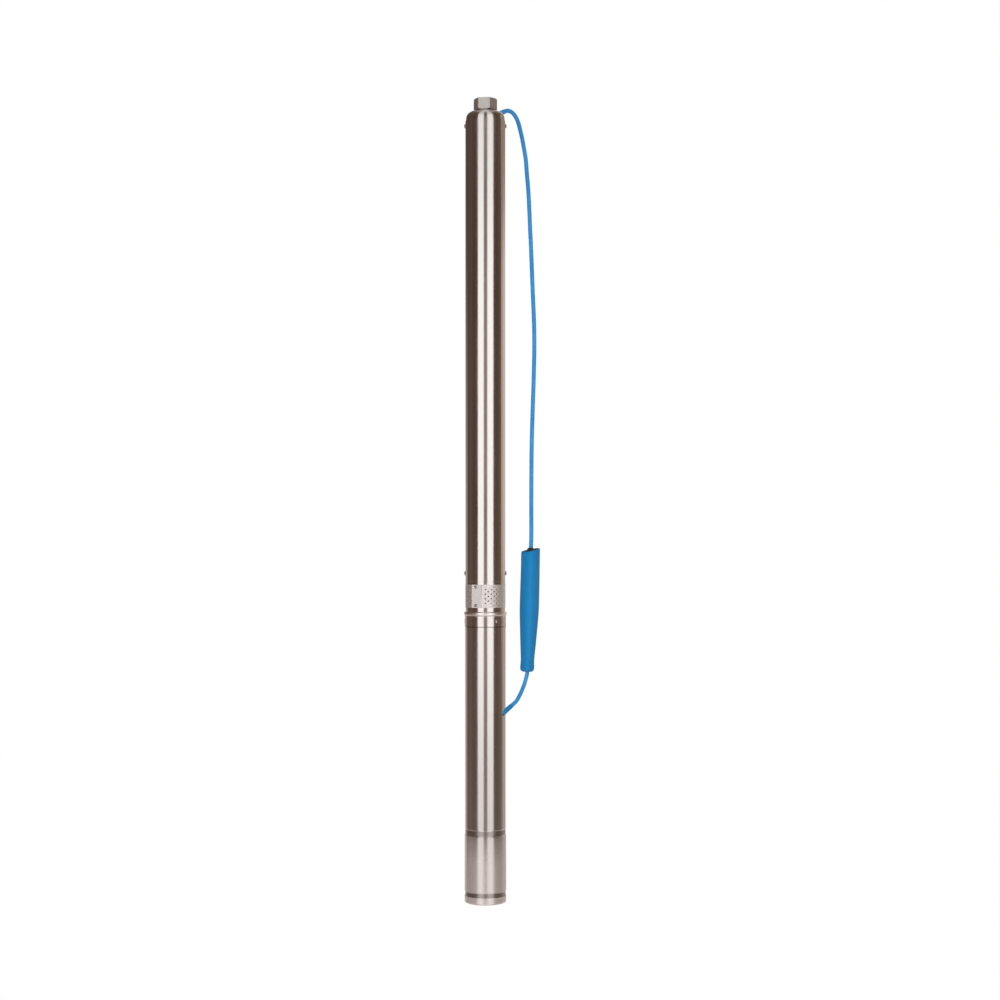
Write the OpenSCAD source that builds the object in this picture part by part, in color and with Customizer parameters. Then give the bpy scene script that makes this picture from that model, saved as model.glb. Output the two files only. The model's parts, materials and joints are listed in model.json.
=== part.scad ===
// Borehole submersible pump: multistage pump end on an oil-filled motor.
// The origin is the centre of the discharge mouth, +Z points up and -Y is the front.
// Millimetres throughout.

/* [Pump end] */
// Outside diameter of the pump tube
tube_od = 75; // [72:0.5:80]
// Wall of the pump tube
tube_wall = 2; // [1.5:0.1:2.5]
// Number of impeller stages
stage_count = 25; // [4:1:30]
// Height of one stage
stage_pitch = 30.2; // [28:0.1:34]
// Diameter of an impeller
impeller_d = 58; // [52:0.5:60]
// Across flats of the hexagonal pump shaft
shaft_flats = 13; // [11:0.5:14]
// Diameter of the impeller hubs
hub_d = 18.4; // [17.5:0.1:20]
// Inside diameter of an impeller eye
eye_d = 27; // [25:0.5:29]
// Number of vanes in an impeller
impeller_vanes = 6; // [4:1:7]
// Number of return vanes in a diffuser
return_vanes = 7; // [5:1:8]

/* [Discharge head] */
// Across flats of the outlet hexagon
hex_flats = 39; // [38:0.5:46]
// Height of the outlet hexagon with its neck
hex_h = 24; // [22:0.5:30]
// Minor diameter of the outlet thread
outlet_bore_d = 30.29; // [24:0.01:32]
// Depth of the outlet thread
outlet_depth = 20; // [14:0.5:21]
// Radius of the rounded shoulder
shoulder_r = 12.5; // [10:0.5:14]
// Straight band of the head that shows above the tube
head_band_h = 5; // [4:0.5:10]
// Depth of the head inside the tube
head_plug_h = 53.5; // [52:0.5:62]
// Travel of the non-return valve
valve_travel = 8; // [4:0.5:9]
// Diameter of the valve poppet
poppet_d = 44; // [40:0.5:48]

/* [Intake] */
// Height of the strainer
strainer_h = 43; // [40:0.5:60]
// Sheet thickness of the strainer
strainer_wall = 1; // [0.8:0.1:1.2]
// Diameter of a strainer hole
strainer_hole_d = 2.7; // [2.2:0.1:4]
// Distance between rows of strainer holes
strainer_row_pitch = 4.3; // [4:0.1:5]
// Strainer holes around one row, before the blank strip is left out
strainer_holes = 21; // [16:1:24]
// Diameter of the bracket flange
flange_d = 80.5; // [79:0.5:86]
// Thickness of the bracket flange
flange_h = 8; // [7:0.1:10]
// Band between the flange and the strainer
bracket_band_h = 7.5; // [6:0.1:12]

/* [Motor] */
// Outside diameter of the motor tube
motor_od = 76.5; // [75:0.5:78]
// Wall of the motor tube
motor_wall = 1.9; // [1.5:0.1:2.2]
// Visible length of the motor tube
motor_tube_h = 377.5; // [340:0.5:450]
// Height of the motor's top bracket outside the tube
bell_h = 21.5; // [19:0.5:26]
// Diameter of the motor's top bracket
bell_d = 77.5; // [77:0.5:80]
// Length of the stator core
core_h = 150; // [100:1:180]
// Bore of the stator core
core_bore_d = 42; // [40:0.5:44]
// Radial air gap between rotor and stator
air_gap = 0.3; // [0.3:0.05:0.6]
// Number of stator slots
slots = 24; // [12:6:24]
// Number of rotor bars
rotor_bars = 18; // [12:1:20]
// Diameter of the lower housing and the bottom cover
housing_d = 78; // [77:0.5:82]
// Height of the lower housing
housing_h = 106.5; // [95:0.5:130]
// Height of the groove above the lower housing
upper_groove_h = 9; // [7:0.5:16]
// Height of the groove below the lower housing
lower_groove_h = 7.5; // [6:0.5:14]
// Height of the bottom cover
cover_h = 14; // [12:0.5:20]

/* [Bearings and screws] */
// Bore of the ball bearings
bearing_bore = 17; // [15:1:17]
// Outside diameter of the ball bearings
bearing_od = 40; // [38:1:42]
// Width of the ball bearings
bearing_w = 12; // [11:0.5:14]
// Diameter of a bearing ball
ball_d = 6.75; // [6:0.25:7]
// Number of balls in a bearing
ball_count = 8; // [6:1:9]
// Shank diameter of the radial screws
screw_d = 5; // [4:0.5:5]
// Head diameter of the radial screws
screw_head_d = 8; // [7:0.5:9]

/* [Cable] */
// Diameter of the drop cable
drop_cable_d = 8; // [6:0.5:9]
// Diameter of the motor lead
lead_d = 7.5; // [6:0.5:8]
// Largest diameter of the cable splice
splice_d = 38; // [28:0.5:40]

/* [Hidden] */
$fn = 64;

// Clearances: slip fits, bearing fits, running gaps in the stages and stacking gaps
slip = 0.15;
fit = 0.05;
running = 0.6;
stack_gap = 0.2;
screw_clear = 0.1;

// Radii
tube_r = tube_od / 2;
tube_ri = tube_r - tube_wall;
plug_r = tube_ri - slip;
head_r = tube_r - 1.3;
motor_r = motor_od / 2;
motor_ri = motor_r - motor_wall;
motor_plug_r = motor_ri - slip;
housing_r = housing_d / 2;
groove_depth = 1.2;
groove_r = housing_r - groove_depth;
bell_r = bell_d / 2;
flange_r = flange_d / 2;
hub_r = hub_d / 2;
eye_r = eye_d / 2;
shaft_corner_r = shaft_flats / 2 / cos(30);
journal_r = shaft_flats / 2 - 0.1;
bush_ri = journal_r + fit;
bush_wall = 3;
outlet_r = outlet_bore_d / 2;
screw_r = screw_d / 2;
screw_hole_r = screw_r + screw_clear;
screw_head_r = screw_head_d / 2;
screw_head_h = 2.4;
pump_tube_edge = 0.45;
motor_tube_edge = 1.8;
relief_h = 0.9;
relief_depth = 1.5;
flange_round = 3.2;

// Parts of the stack that are worked out from the driving sizes
collar_h = 5.4;
spigot_h = 22.1;
spider_h = 30;
stack_h = stage_count * stage_pitch;
tube_h = spigot_h + stack_h + spider_h + head_plug_h;
total_h = cover_h + lower_groove_h + housing_h + upper_groove_h + motor_tube_h + bell_h + flange_h
    + bracket_band_h + strainer_h + collar_h + tube_h + head_band_h + shoulder_r + hex_h;

// Levels from the base up to the mouth
z_base = -total_h;
z_cover = z_base + cover_h;
z_housing = z_cover + lower_groove_h;
z_housing_top = z_housing + housing_h;
z_motor = z_housing_top + upper_groove_h;
z_motor_top = z_motor + motor_tube_h;
z_bell_top = z_motor_top + bell_h;
z_flange_top = z_bell_top + flange_h;
z_strainer = z_flange_top + bracket_band_h;
z_strainer_top = z_strainer + strainer_h;
z_tube = z_strainer_top + collar_h;
z_stack = z_tube + spigot_h;
z_spider = z_stack + stack_h;
z_plug = z_spider + spider_h;
z_tube_top = z_plug + head_plug_h;
z_band_top = z_tube_top + head_band_h;
z_shoulder_top = z_band_top + shoulder_r;

// One stage, with heights above its foot
plate_h = 2;
disc_low = 14;
disc_h = 2;
stage_wall = 2;
shroud_h = 1.6;
vane_h = 6;
vane_w = 1.8;
neck_wall = 1.3;
impeller_low = plate_h + 2 * running;
stage_r = plug_r;
stage_ri = stage_r - stage_wall;
impeller_r = impeller_d / 2;
neck_r = eye_r + neck_wall;
hub_low = impeller_low + 0.8;
shroud_top = impeller_low + 2 * shroud_h + vane_h;

// Head
chamber_wall = 6.35;
chamber_r = plug_r - chamber_wall;
hex_neck_h = 2.5;
hex_turn = -9.3;
hex_neck_r = hex_flats / 2 - 2.4;
seat_h = 6;
gasket_h = 2;
gasket_w = 4;
poppet_h = 4;
poppet_r = poppet_d / 2;
seat_bore_r = poppet_r - gasket_w + 1;
stem_r = 4;
stop_r = 6.2;
guide_h = 6;
z_seat_top = z_plug + seat_h;
z_gasket = z_seat_top + 0.3;
z_poppet = z_gasket + gasket_h;
z_poppet_top = z_poppet + poppet_h;
z_guide = z_tube_top - 5.5;
z_chamber_top = z_guide + guide_h;
stem_top = z_chamber_top + 1;
waterway_r = outlet_r - 1.2;
z_waterway = z_shoulder_top + hex_h - outlet_depth;
head_screw_z = z_tube_top - 9;
o_ring_d = 2.5;
o_groove_h = 3.2;
head_o_ring_z = z_plug + 14;
spring_coil_r = 9;
spring_wire_r = 0.7;
spring_turns = 4;

// Intake
rim_r = tube_r - strainer_wall - 0.2;
rim_ri = 27;
rim_h = 8.5;
band_r = tube_r - 0.3;
post_count = 4;
post_angle = 28;
bracket_bore_r = 24;
register_h = 14;
register_r = bell_r - 4.9;
suction_screw_z = z_tube + spigot_h * 0.7;
strainer_rows = floor((strainer_h - 2 * 3) / strainer_row_pitch) + 1;
blank_from = -42;
blank_to = -8;
strainer_screw_r = 1.6;
seam_azimuth = -20;
seam_left = 12.8;
seam_right = 6;
seam_r = tube_r + 0.4;
seam_screw_side = -4.5;
bush_low = z_tube + 4;
bush_high = z_tube + 18;
coupling_low = z_flange_top + 7;
coupling_high = z_tube + 0.6;
coupling_r = 12;
coupling_mid = (coupling_low + coupling_high) / 2;
spline_root_r = journal_r - 1.4;
spline_tip_r = journal_r;
spline_w = 2;
spline_teeth = 8;

// Top spider
spider_arm_low = z_spider + 12;
spider_arm_high = spider_arm_low + 10;
impeller_nut_h = 6;
spider_bush_low = spider_arm_low - 1;
spider_bush_high = spider_arm_high + 1;
spider_hub_r = bush_ri + bush_wall + 4;
spider_rim_r = stage_ri - 1;

// Motor
bell_plug_h = 26;
bearing_r = bearing_od / 2;
bearing_ri = bearing_bore / 2;
ball_r = ball_d / 2;
pitch_r = (bearing_r + bearing_ri) / 2;
ball_play = 0.03;
race_r = ball_r + 0.1;
ring_step = 2.3;
pocket_clear = 0.03;
z_upper_bearing = z_motor_top - bell_plug_h + 1.5;
seal_floor = z_motor_top - 4;
seal_pocket_r = 16;
seal_pocket_top = z_motor_top + bell_h - register_h;
seal_seat_h = 6;
z_seal_ring = seal_floor + seal_seat_h + fit;
seal_ring_h = 9;
z_guard = z_bell_top - 6;
guard_h = 6;
guard_r = 20;
bell_screw_z = z_bell_top - 10;
bell_screw_azimuths = [-84, 36, 156];
rotor_shaft_r = bearing_ri + 2.5;
housing_plug_h = 18;
end_turn_h = 22;
z_core = z_motor + housing_plug_h + end_turn_h + 3;
z_core_top = z_core + core_h;
core_r = motor_ri - slip;
core_bore_r = core_bore_d / 2;
slot_in = core_bore_r + 1;
slot_out = core_r - 6;
slot_w = 3.2;
slot_mouth_w = 1.4;
wire_clear = 0.2;
rotor_r = core_bore_r - air_gap;
bar_r = 1.5;
bar_ring_r = rotor_r - bar_r - 1;
end_ring_h = 9;
z_lower_bearing = z_housing_top - 11;
bearing_web_h = 13;
oil_r = housing_r - 9;
z_diaphragm = z_housing + 12;
diaphragm_seat_h = 4;
diaphragm_wall = 2;
diaphragm_h = 34;
cover_plug_r = oil_r - 0.1;
cover_ri = cover_plug_r - 6;
cover_screw_ring_r = housing_r - 5.5;
cover_screw_r = 2;
cover_head_r = 3.5;
cover_head_h = 4;
cover_sink = 2;
cover_screw_top = z_housing + 14;
cover_round_r = 4;
vent_r = 4;

// A vector of length 1
function unit(v) = v / norm(v);

// Cable glands: taper, foot on the part, axis and depth of the root below the foot
gland_h = 20;
gland_foot_r = 4.6;
gland_stem_r = 3.4;
gland_lead_out = 5;
motor_gland_foot = [35.5, -14, -1145.2];
motor_gland_axis = unit([0.66, 0.54, 0.54]);
motor_gland_root = 7;
head_gland_foot = [23.5, 19.2, -24];
head_gland_axis = unit([0.6, 0.69, 0.4]);
head_gland_root = 6;

// Splice: its ends, and its profile as shares of length, of largest radius and of the slant at its top
splice_foot = [78.8, 36, -1073.7];
splice_top = [86, 47, -839.7];
splice_axis = unit(splice_top - splice_foot);
splice_profile = [
    [0, 0.30, 0], [0.012, 0.6, 0], [0.03, 0.74, 0], [0.055, 0.73, 0], [0.085, 0.66, 0], [0.12, 0.645, 0],
    [0.2, 0.725, 0], [0.33, 0.855, 0], [0.43, 0.955, 0], [0.48, 0.99, 0], [0.56, 1, 0], [0.86, 1, 0],
    [0.93, 1, 0.6], [0.983, 1, 1], [0.996, 0.94, 1], [1, 0.55, 0]
];
splice_slant = 0.22;

// Drop cable, from the head's gland down to the splice
drop_route = [
    head_gland_foot + gland_h * head_gland_axis,
    head_gland_foot + (gland_h + gland_lead_out) * head_gland_axis,
    [42.3, 40.7, -12.7], [46.3, 44.7, -12.8], [50.3, 48.3, -14.5], [54, 51.3, -17.5],
    [57.3, 53.7, -21.9], [60.1, 55.3, -27.2], [62.6, 56.4, -33.9], [64.8, 57, -41.9], [66.9, 57.2, -50.5],
    [69.9, 57.2, -64.2], [72.6, 57.1, -79.4], [76, 57, -99.9], [78.3, 56.8, -127.7], [81.1, 56.5, -161.6],
    [83, 56.1, -197.6], [84.5, 55.7, -233.5], [86.2, 55.2, -269.5], [87.7, 54.7, -308.5],
    [89.2, 54.2, -347.5], [90.9, 53.7, -386.7], [92.2, 53.2, -425.7], [92.4, 52.7, -464.6],
    [91.6, 52.2, -503.6], [90.5, 51.7, -542.5], [89.2, 51.3, -581.4], [88, 50.9, -620.4],
    [87.2, 50.6, -659.5], [86.9, 50.4, -698.3], [86.7, 50.3, -737.2], [86.7, 49.8, -776.1],
    splice_top + 20 * splice_axis,
    splice_top
];

// Motor lead, from the motor's gland up to the splice
lead_route = [
    motor_gland_foot + gland_h * motor_gland_axis,
    motor_gland_foot + (gland_h + gland_lead_out) * motor_gland_axis,
    [57.7, 3.9, -1126.4], [62.7, 11, -1118.9], [67.1, 18.3, -1110.7], [71, 25.2, -1102],
    [74.3, 30.7, -1093.1], [76.9, 34.5, -1084.2],
    splice_foot - 3 * splice_axis,
    splice_foot
];

splice_sides = 24;
splice_crease = 0.1;
cable_sides = 10;

// Shared shapes

// A plain ring about the axis between two levels
module ring(r_out, r_in, low, high) {
    translate([0, 0, low])
        rotate_extrude()
            translate([r_in, 0])
                square([r_out - r_in, high - low]);
}

// A tube about the axis whose lower outer edge is drawn in to a slim bevel
module edged_tube(r_out, r_in, low, high, edge) {
    rotate_extrude()
        polygon([[r_in, low], [r_out - edge / 3, low], [r_out, low + edge], [r_out, high], [r_in, high]]);
}

// A plain rod on the axis between two levels
module rod(r, low, high) {
    translate([0, 0, low])
        cylinder(r = r, h = high - low);
}

// A ring section of given half-width rectangle in the half plane
module section(r_in, low, r_out, high) {
    translate([r_in, low])
        square([r_out - r_in, high - low]);
}

// Copies its children around the axis
module around(count, start = 0) {
    for (i = [0 : count - 1])
        rotate([0, 0, start + i * 360 / count])
            children();
}

// Turns its children so that their +Z points out of the axis, at an azimuth from the front
module outward(azimuth, level, r) {
    rotate([0, 0, azimuth - 90])
        translate([r, 0, level])
            rotate([0, 90, 0])
                children();
}

// Turns its children so that their +Z points out of the strainer's flat seam, at a screw of the seam
module on_seam(level, r) {
    rotate([0, 0, seam_azimuth - 90])
        translate([r, seam_screw_side, level])
            rotate([0, 90, 0])
                children();
}

// Turns its children so that their +Z points along a direction, from a foot
module along(foot, axis) {
    translate(foot)
        rotate([0, acos(axis[2] / norm(axis)), atan2(axis[1], axis[0])])
            children();
}

// A pan-head screw with a cross recess, seated at z = 0
module pan_screw(head_r, head_h, shank_r, shank_h) {
    slot_w = head_r * 0.26;
    slot_h = head_h * 0.45;
    difference() {
        union() {
            rotate_extrude()
                intersection() {
                    square([head_r, head_h]);
                    translate([0, head_h - 1.6 * head_r])
                        circle(r = 1.6 * head_r);
                }
            translate([0, 0, -shank_h])
                cylinder(r = shank_r, h = shank_h + head_h / 3);
        }
        for (turn = [0, 90])
            rotate([0, 0, turn])
                translate([-head_r * 0.6, -slot_w / 2, head_h - slot_h])
                    cube([head_r * 1.2, slot_w, head_h]);
    }
}

// An O-ring about the axis
module o_ring(r_mid, level) {
    translate([0, 0, level])
        rotate_extrude()
            translate([r_mid, 0])
                circle(d = o_ring_d);
}

// The section of an O-ring groove that opens outwards
module o_groove(r_open, level) {
    translate([r_open - o_ring_d - 0.05, level - o_groove_h / 2])
        square([o_ring_d + 1, o_groove_h]);
}

// A curved blade from r_in to r_out, as a slice of a ring whose centre lies off the axis
module blade_2d(r_in, r_out, width) {
    bend_r = (r_in + r_out) * 0.62;
    bend_x = (r_in + r_out) / 2;
    bend_y = sqrt(bend_r * bend_r - pow((r_out - r_in) / 2, 2));
    intersection() {
        translate([bend_x, -bend_y])
            difference() {
                circle(r = bend_r + width / 2);
                circle(r = bend_r - width / 2);
            }
        difference() {
            circle(r = r_out);
            circle(r = r_in);
        }
        translate([0, -width])
            square([r_out, r_out]);
    }
}

// Points of a tube swept along a route
function route_heading(route, i) =
    let (before = max(i - 1, 0), after = min(i + 1, len(route) - 1))
    (route[after] - route[before]) / norm(route[after] - route[before]);
function route_side(heading) =
    let (side = cross(heading, [0, 1, 0.02])) side / norm(side);
function route_ring(route, i, r, sides) =
    let (heading = route_heading(route, i), side = route_side(heading), up = cross(heading, side))
    [for (k = [0 : sides - 1])
        route[i] + r * (cos(k * 360 / sides) * side + sin(k * 360 / sides) * up)];

// Faces of a swept tube with closed ends
function tube_faces(rings, sides) = concat(
    [[for (k = [sides - 1 : -1 : 0]) k]],
    [for (i = [0 : rings - 2], k = [0 : sides - 1])
        [i * sides + k, i * sides + (k + 1) % sides, (i + 1) * sides + (k + 1) % sides]],
    [for (i = [0 : rings - 2], k = [0 : sides - 1])
        [i * sides + k, (i + 1) * sides + (k + 1) % sides, (i + 1) * sides + k]],
    [[for (k = [0 : sides - 1]) (rings - 1) * sides + k]]
);

module swept_tube(route, r, sides) {
    points = [for (i = [0 : len(route) - 1]) each route_ring(route, i, r, sides)];
    polyhedron(points = points, faces = tube_faces(len(route), sides), convexity = 4);
}

// Discharge head and non-return valve

// Outline of the head outside its bores
module head_outline() {
    section(0, z_plug, plug_r, z_tube_top + 1);
    section(0, z_tube_top, head_r, z_band_top);
    section(0, z_band_top - 1, head_r - shoulder_r, z_shoulder_top);
    intersection() {
        translate([head_r - shoulder_r, z_band_top])
            circle(r = shoulder_r);
        section(0, z_band_top - 1, head_r, z_shoulder_top);
    }
    section(0, z_shoulder_top - 1, hex_neck_r, z_shoulder_top + hex_neck_h + 1);
}

// Hollows of the head: valve chamber, funnel, waterway and thread
module head_hollows() {
    funnel_r = chamber_r - 5;
    section(0, z_plug - 1, chamber_r, z_chamber_top);
    polygon([
        [0, z_chamber_top - 1], [funnel_r, z_chamber_top - 1], [funnel_r, z_chamber_top],
        [waterway_r, z_chamber_top + funnel_r - waterway_r], [0, z_chamber_top + funnel_r - waterway_r]
    ]);
    section(0, z_chamber_top, waterway_r, z_waterway + 1);
    section(0, z_waterway, outlet_r, 1);
}

// Crown of the hexagon: its corners are turned off at top and bottom
module hex_crown() {
    corner_r = hex_flats / 2 / cos(30);
    turned_r = corner_r - 0.5;
    low = z_shoulder_top + hex_neck_h;
    crown = 1.6;
    rotate_extrude()
        polygon([
            [0, low], [turned_r - crown, low], [turned_r, low + crown], [turned_r, -crown],
            [turned_r - crown, 0], [0, 0]
        ]);
}

module discharge_head() {
    color([0.66, 0.64, 0.62])
        difference() {
            union() {
                rotate_extrude()
                    difference() {
                        head_outline();
                        head_hollows();
                        o_groove(plug_r, head_o_ring_z);
                    }
                difference() {
                    intersection() {
                        rotate([0, 0, hex_turn])
                            translate([0, 0, z_shoulder_top + hex_neck_h])
                                cylinder(r = hex_flats / 2 / cos(30), h = hex_h - hex_neck_h, $fn = 6);
                        hex_crown();
                    }
                    rod(outlet_r, z_waterway, 1);
                    rod(waterway_r, z_shoulder_top, z_waterway + 1);
                }
            }
            for (azimuth = [-90, 90])
                outward(azimuth, head_screw_z, plug_r - chamber_wall + 1.2)
                    cylinder(r = screw_hole_r, h = chamber_wall + 2);
            along(head_gland_foot, head_gland_axis)
                translate([0, 0, -head_gland_root - 0.3])
                    cylinder(r = gland_stem_r + screw_clear, h = head_gland_root + 20);
        }
}

module head_o_ring() {
    color([0.06, 0.06, 0.06])
        o_ring(plug_r - o_ring_d / 2 + 0.02, head_o_ring_z);
}

module valve_seat() {
    color([0.75, 0.62, 0.3])
        rotate_extrude()
            difference() {
                section(seat_bore_r, z_plug, chamber_r - slip, z_seat_top);
                translate([seat_bore_r, z_plug])
                    rotate(45)
                        square(3, center = true);
            }
}

module valve_guide() {
    color([0.15, 0.16, 0.17])
        translate([0, 0, z_guide])
            linear_extrude(guide_h)
                difference() {
                    union() {
                        difference() {
                            circle(r = chamber_r - slip);
                            circle(r = chamber_r - 4);
                        }
                        around(3, 30)
                            translate([stem_r, -1.5])
                                square([chamber_r - stem_r - 2, 3]);
                        circle(r = stem_r + 3.5);
                    }
                    circle(r = stem_r + fit);
                }
}

module valve_poppet() {
    color([0.2, 0.21, 0.22])
        rotate_extrude()
            difference() {
                union() {
                    section(0, z_poppet, poppet_r, z_poppet_top);
                    section(0, z_poppet_top - 1, stem_r, stem_top);
                    section(0, z_poppet_top - 1, stop_r, z_guide - valve_travel - stack_gap);
                    section(0, z_seat_top + 0.3, poppet_r - gasket_w - 0.1, z_poppet + 1);
                }
                translate([poppet_r, z_poppet_top])
                    rotate(45)
                        square(2.4, center = true);
            }
}

module valve_gasket() {
    color([0.05, 0.05, 0.05])
        ring(poppet_r, poppet_r - gasket_w, z_gasket, z_poppet);
}

// A helix of round wire between the poppet and the guide
module valve_spring() {
    steps = 18;
    low = z_poppet_top + spring_wire_r + 0.15;
    high = z_guide - spring_wire_r - 0.15;
    count = spring_turns * steps;
    route = [for (i = [0 : count])
        [spring_coil_r * cos(i * 360 / steps), spring_coil_r * sin(i * 360 / steps),
            low + (high - low) * i / count]];
    color([0.7, 0.7, 0.72])
        polyhedron(
            points = [for (i = [0 : count]) each spring_ring(route, i)],
            faces = tube_faces(count + 1, 8), convexity = 8);
}
function spring_ring(route, i) =
    let (
        heading = route_heading(route, i),
        out = [route[i][0], route[i][1], 0] / spring_coil_r,
        up = cross(heading, out))
    [for (k = [0 : 7])
        route[i] + spring_wire_r * (cos(k * 45) * out + sin(k * 45) * up)];

// Pump end

module top_bearing_spider() {
    color([0.16, 0.17, 0.18])
        difference() {
            union() {
                ring(plug_r, spider_rim_r, z_spider + stack_gap, z_plug);
                translate([0, 0, spider_arm_low])
                    linear_extrude(spider_arm_high - spider_arm_low)
                        around(4, 45)
                            translate([spider_hub_r - 2, -2.5])
                                square([spider_rim_r - spider_hub_r + 3, 5]);
                rod(spider_hub_r, spider_bush_low, spider_bush_high);
            }
            rod(bush_ri + bush_wall, spider_bush_low - 1, spider_bush_high + 1);
        }
}

module top_bearing_bush() {
    color([0.07, 0.07, 0.08])
        ring(bush_ri + bush_wall - 0.02, bush_ri, spider_bush_low, spider_bush_high);
}

module pump_tube() {
    color([0.7, 0.68, 0.66])
        difference() {
            edged_tube(tube_r, tube_ri, z_tube, z_tube_top, pump_tube_edge);
            for (azimuth = [-90, 90], level = [suction_screw_z, head_screw_z])
                outward(azimuth, level, tube_ri - 2)
                    cylinder(r = screw_hole_r, h = tube_wall + 4);
        }
}

module tube_screws() {
    color([0.62, 0.6, 0.58])
        for (azimuth = [-90, 90], level = [suction_screw_z, head_screw_z])
            outward(azimuth, level, tube_r)
                pan_screw(screw_head_r, screw_head_h, screw_r, tube_wall + 4);
}

// Return vanes with the outer wall of a stage, seen from above
module return_vanes_2d() {
    difference() {
        circle(r = stage_r);
        circle(r = stage_ri);
    }
    around(return_vanes)
        blade_2d(hub_r + 3, stage_ri + 0.5, vane_w);
}

module diffuser() {
    linear_extrude(disc_low)
        difference() {
            circle(r = stage_r);
            circle(r = stage_ri);
        }
    translate([0, 0, disc_low])
        linear_extrude(disc_h)
            difference() {
                union() {
                    return_vanes_2d();
                    circle(r = impeller_r + 1.2);
                }
                circle(r = hub_r + running);
            }
    translate([0, 0, disc_low + disc_h])
        linear_extrude(stage_pitch - stack_gap - disc_low - disc_h)
            return_vanes_2d();
}

module diffusers() {
    color([0.13, 0.14, 0.16])
        for (i = [0 : stage_count - 1])
            translate([0, 0, z_stack + i * stage_pitch])
                diffuser();
}

module stage_plates() {
    color([0.62, 0.61, 0.6])
        for (i = [0 : stage_count - 1])
            ring(stage_ri - stack_gap, neck_r + running, z_stack + i * stage_pitch,
                z_stack + i * stage_pitch + plate_h);
}

module impeller() {
    hole_r = shaft_corner_r + 0.1;
    ring(neck_r, eye_r, 0.4, impeller_low + 0.1);
    ring(impeller_r, eye_r, impeller_low, impeller_low + shroud_h);
    translate([0, 0, impeller_low + shroud_h])
        linear_extrude(vane_h)
            around(impeller_vanes)
                blade_2d(hub_r + 2, impeller_r, vane_w);
    difference() {
        union() {
            rod(impeller_r, impeller_low + shroud_h + vane_h, shroud_top);
            rod(hub_r, hub_low, hub_low + stage_pitch - stack_gap);
        }
        translate([0, 0, hub_low - 1])
            cylinder(r = hole_r, h = stage_pitch + 2, $fn = 6);
    }
}

module impellers() {
    color([0.72, 0.66, 0.5])
        for (i = [0 : stage_count - 1])
            translate([0, 0, z_stack + i * stage_pitch])
                impeller();
}

module impeller_nut() {
    low = z_spider + hub_low;
    color([0.66, 0.65, 0.64])
        difference() {
            translate([0, 0, low])
                cylinder(r = hub_r + 0.8, h = impeller_nut_h, $fn = 6);
            rod(journal_r + 0.05, low - 1, low + impeller_nut_h + 1);
        }
}

// Splined end of a shaft, or the bore that takes it
module spline_2d(extra) {
    circle(r = spline_root_r + extra);
    around(spline_teeth)
        translate([0, -spline_w / 2 - extra])
            square([spline_tip_r + extra, spline_w + 2 * extra]);
}

module pump_shaft() {
    collar_low = bush_high + 0.5;
    hex_low = z_stack + hub_low - 0.2;
    color([0.68, 0.67, 0.66])
        union() {
            translate([0, 0, coupling_mid + 1])
                linear_extrude(coupling_high - coupling_mid)
                    spline_2d(0);
            rod(journal_r, coupling_high, collar_low);
            rod(hub_r, collar_low, hex_low);
            translate([0, 0, hex_low])
                cylinder(r = shaft_corner_r, h = z_spider + hub_low - hex_low, $fn = 6);
            rod(journal_r, z_spider + hub_low, spider_bush_high + 1);
        }
}

// Intake

// Posts of the suction bracket, seen from above
module bracket_posts_2d() {
    reach = rim_r / cos(post_angle / 2) + 1;
    intersection() {
        difference() {
            circle(r = rim_r);
            circle(r = rim_ri);
        }
        around(post_count, 45)
            polygon([
                [0, 0], [reach * cos(post_angle / 2), -reach * sin(post_angle / 2)],
                [reach * cos(post_angle / 2), reach * sin(post_angle / 2)]
            ]);
    }
}

module suction_bracket() {
    spigot_ri = plug_r - 4.4;
    hub_out = bush_ri + bush_wall + 3;
    post_low = z_strainer + rim_h;
    post_high = z_strainer_top - rim_h;
    color([0.64, 0.62, 0.6])
        difference() {
            union() {
                rotate_extrude() {
                    section(bracket_bore_r, z_bell_top - register_h + 0.3, register_r, z_bell_top);
                    section(bracket_bore_r, z_bell_top, flange_r - flange_round, z_flange_top);
                    section(bracket_bore_r, z_bell_top + flange_round, flange_r, z_flange_top - flange_round);
                    for (level = [z_bell_top + flange_round, z_flange_top - flange_round])
                        translate([flange_r - flange_round, level])
                            circle(r = flange_round);
                    section(bracket_bore_r, z_flange_top, band_r, z_strainer);
                    section(rim_ri, z_strainer, rim_r, post_low);
                }
                translate([0, 0, post_low])
                    linear_extrude(post_high - post_low)
                        bracket_posts_2d();
                rotate_extrude() {
                    section(rim_ri, post_high, rim_r, z_strainer_top);
                    section(rim_ri, z_strainer_top, tube_r, z_tube);
                    section(rim_ri, z_tube, plug_r, z_tube + 2);
                    section(spigot_ri, z_tube + 2, plug_r, z_stack - stack_gap);
                }
                translate([0, 0, bush_low + 2])
                    linear_extrude(bush_high - bush_low - 4)
                        around(4, 45)
                            translate([hub_out - 2, -2.5])
                                square([spigot_ri - hub_out + 3, 5]);
                rod(hub_out, bush_low, bush_high);
            }
            rod(bush_ri + bush_wall, bush_low - 1, bush_high + 1);
            for (azimuth = [-90, 90])
                outward(azimuth, suction_screw_z, plug_r - 4.1)
                    cylinder(r = screw_hole_r, h = 10);
            for (azimuth = bell_screw_azimuths)
                outward(azimuth, bell_screw_z, register_r - 6)
                    cylinder(r = screw_hole_r, h = 10);
            for (level = [post_low - rim_h / 2, post_high + rim_h / 2])
                on_seam(level, rim_r - 5)
                    cylinder(r = strainer_screw_r + screw_clear, h = 10);
        }
}

module suction_bush() {
    color([0.07, 0.07, 0.08])
        ring(bush_ri + bush_wall - 0.02, bush_ri, bush_low, bush_high);
}

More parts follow.
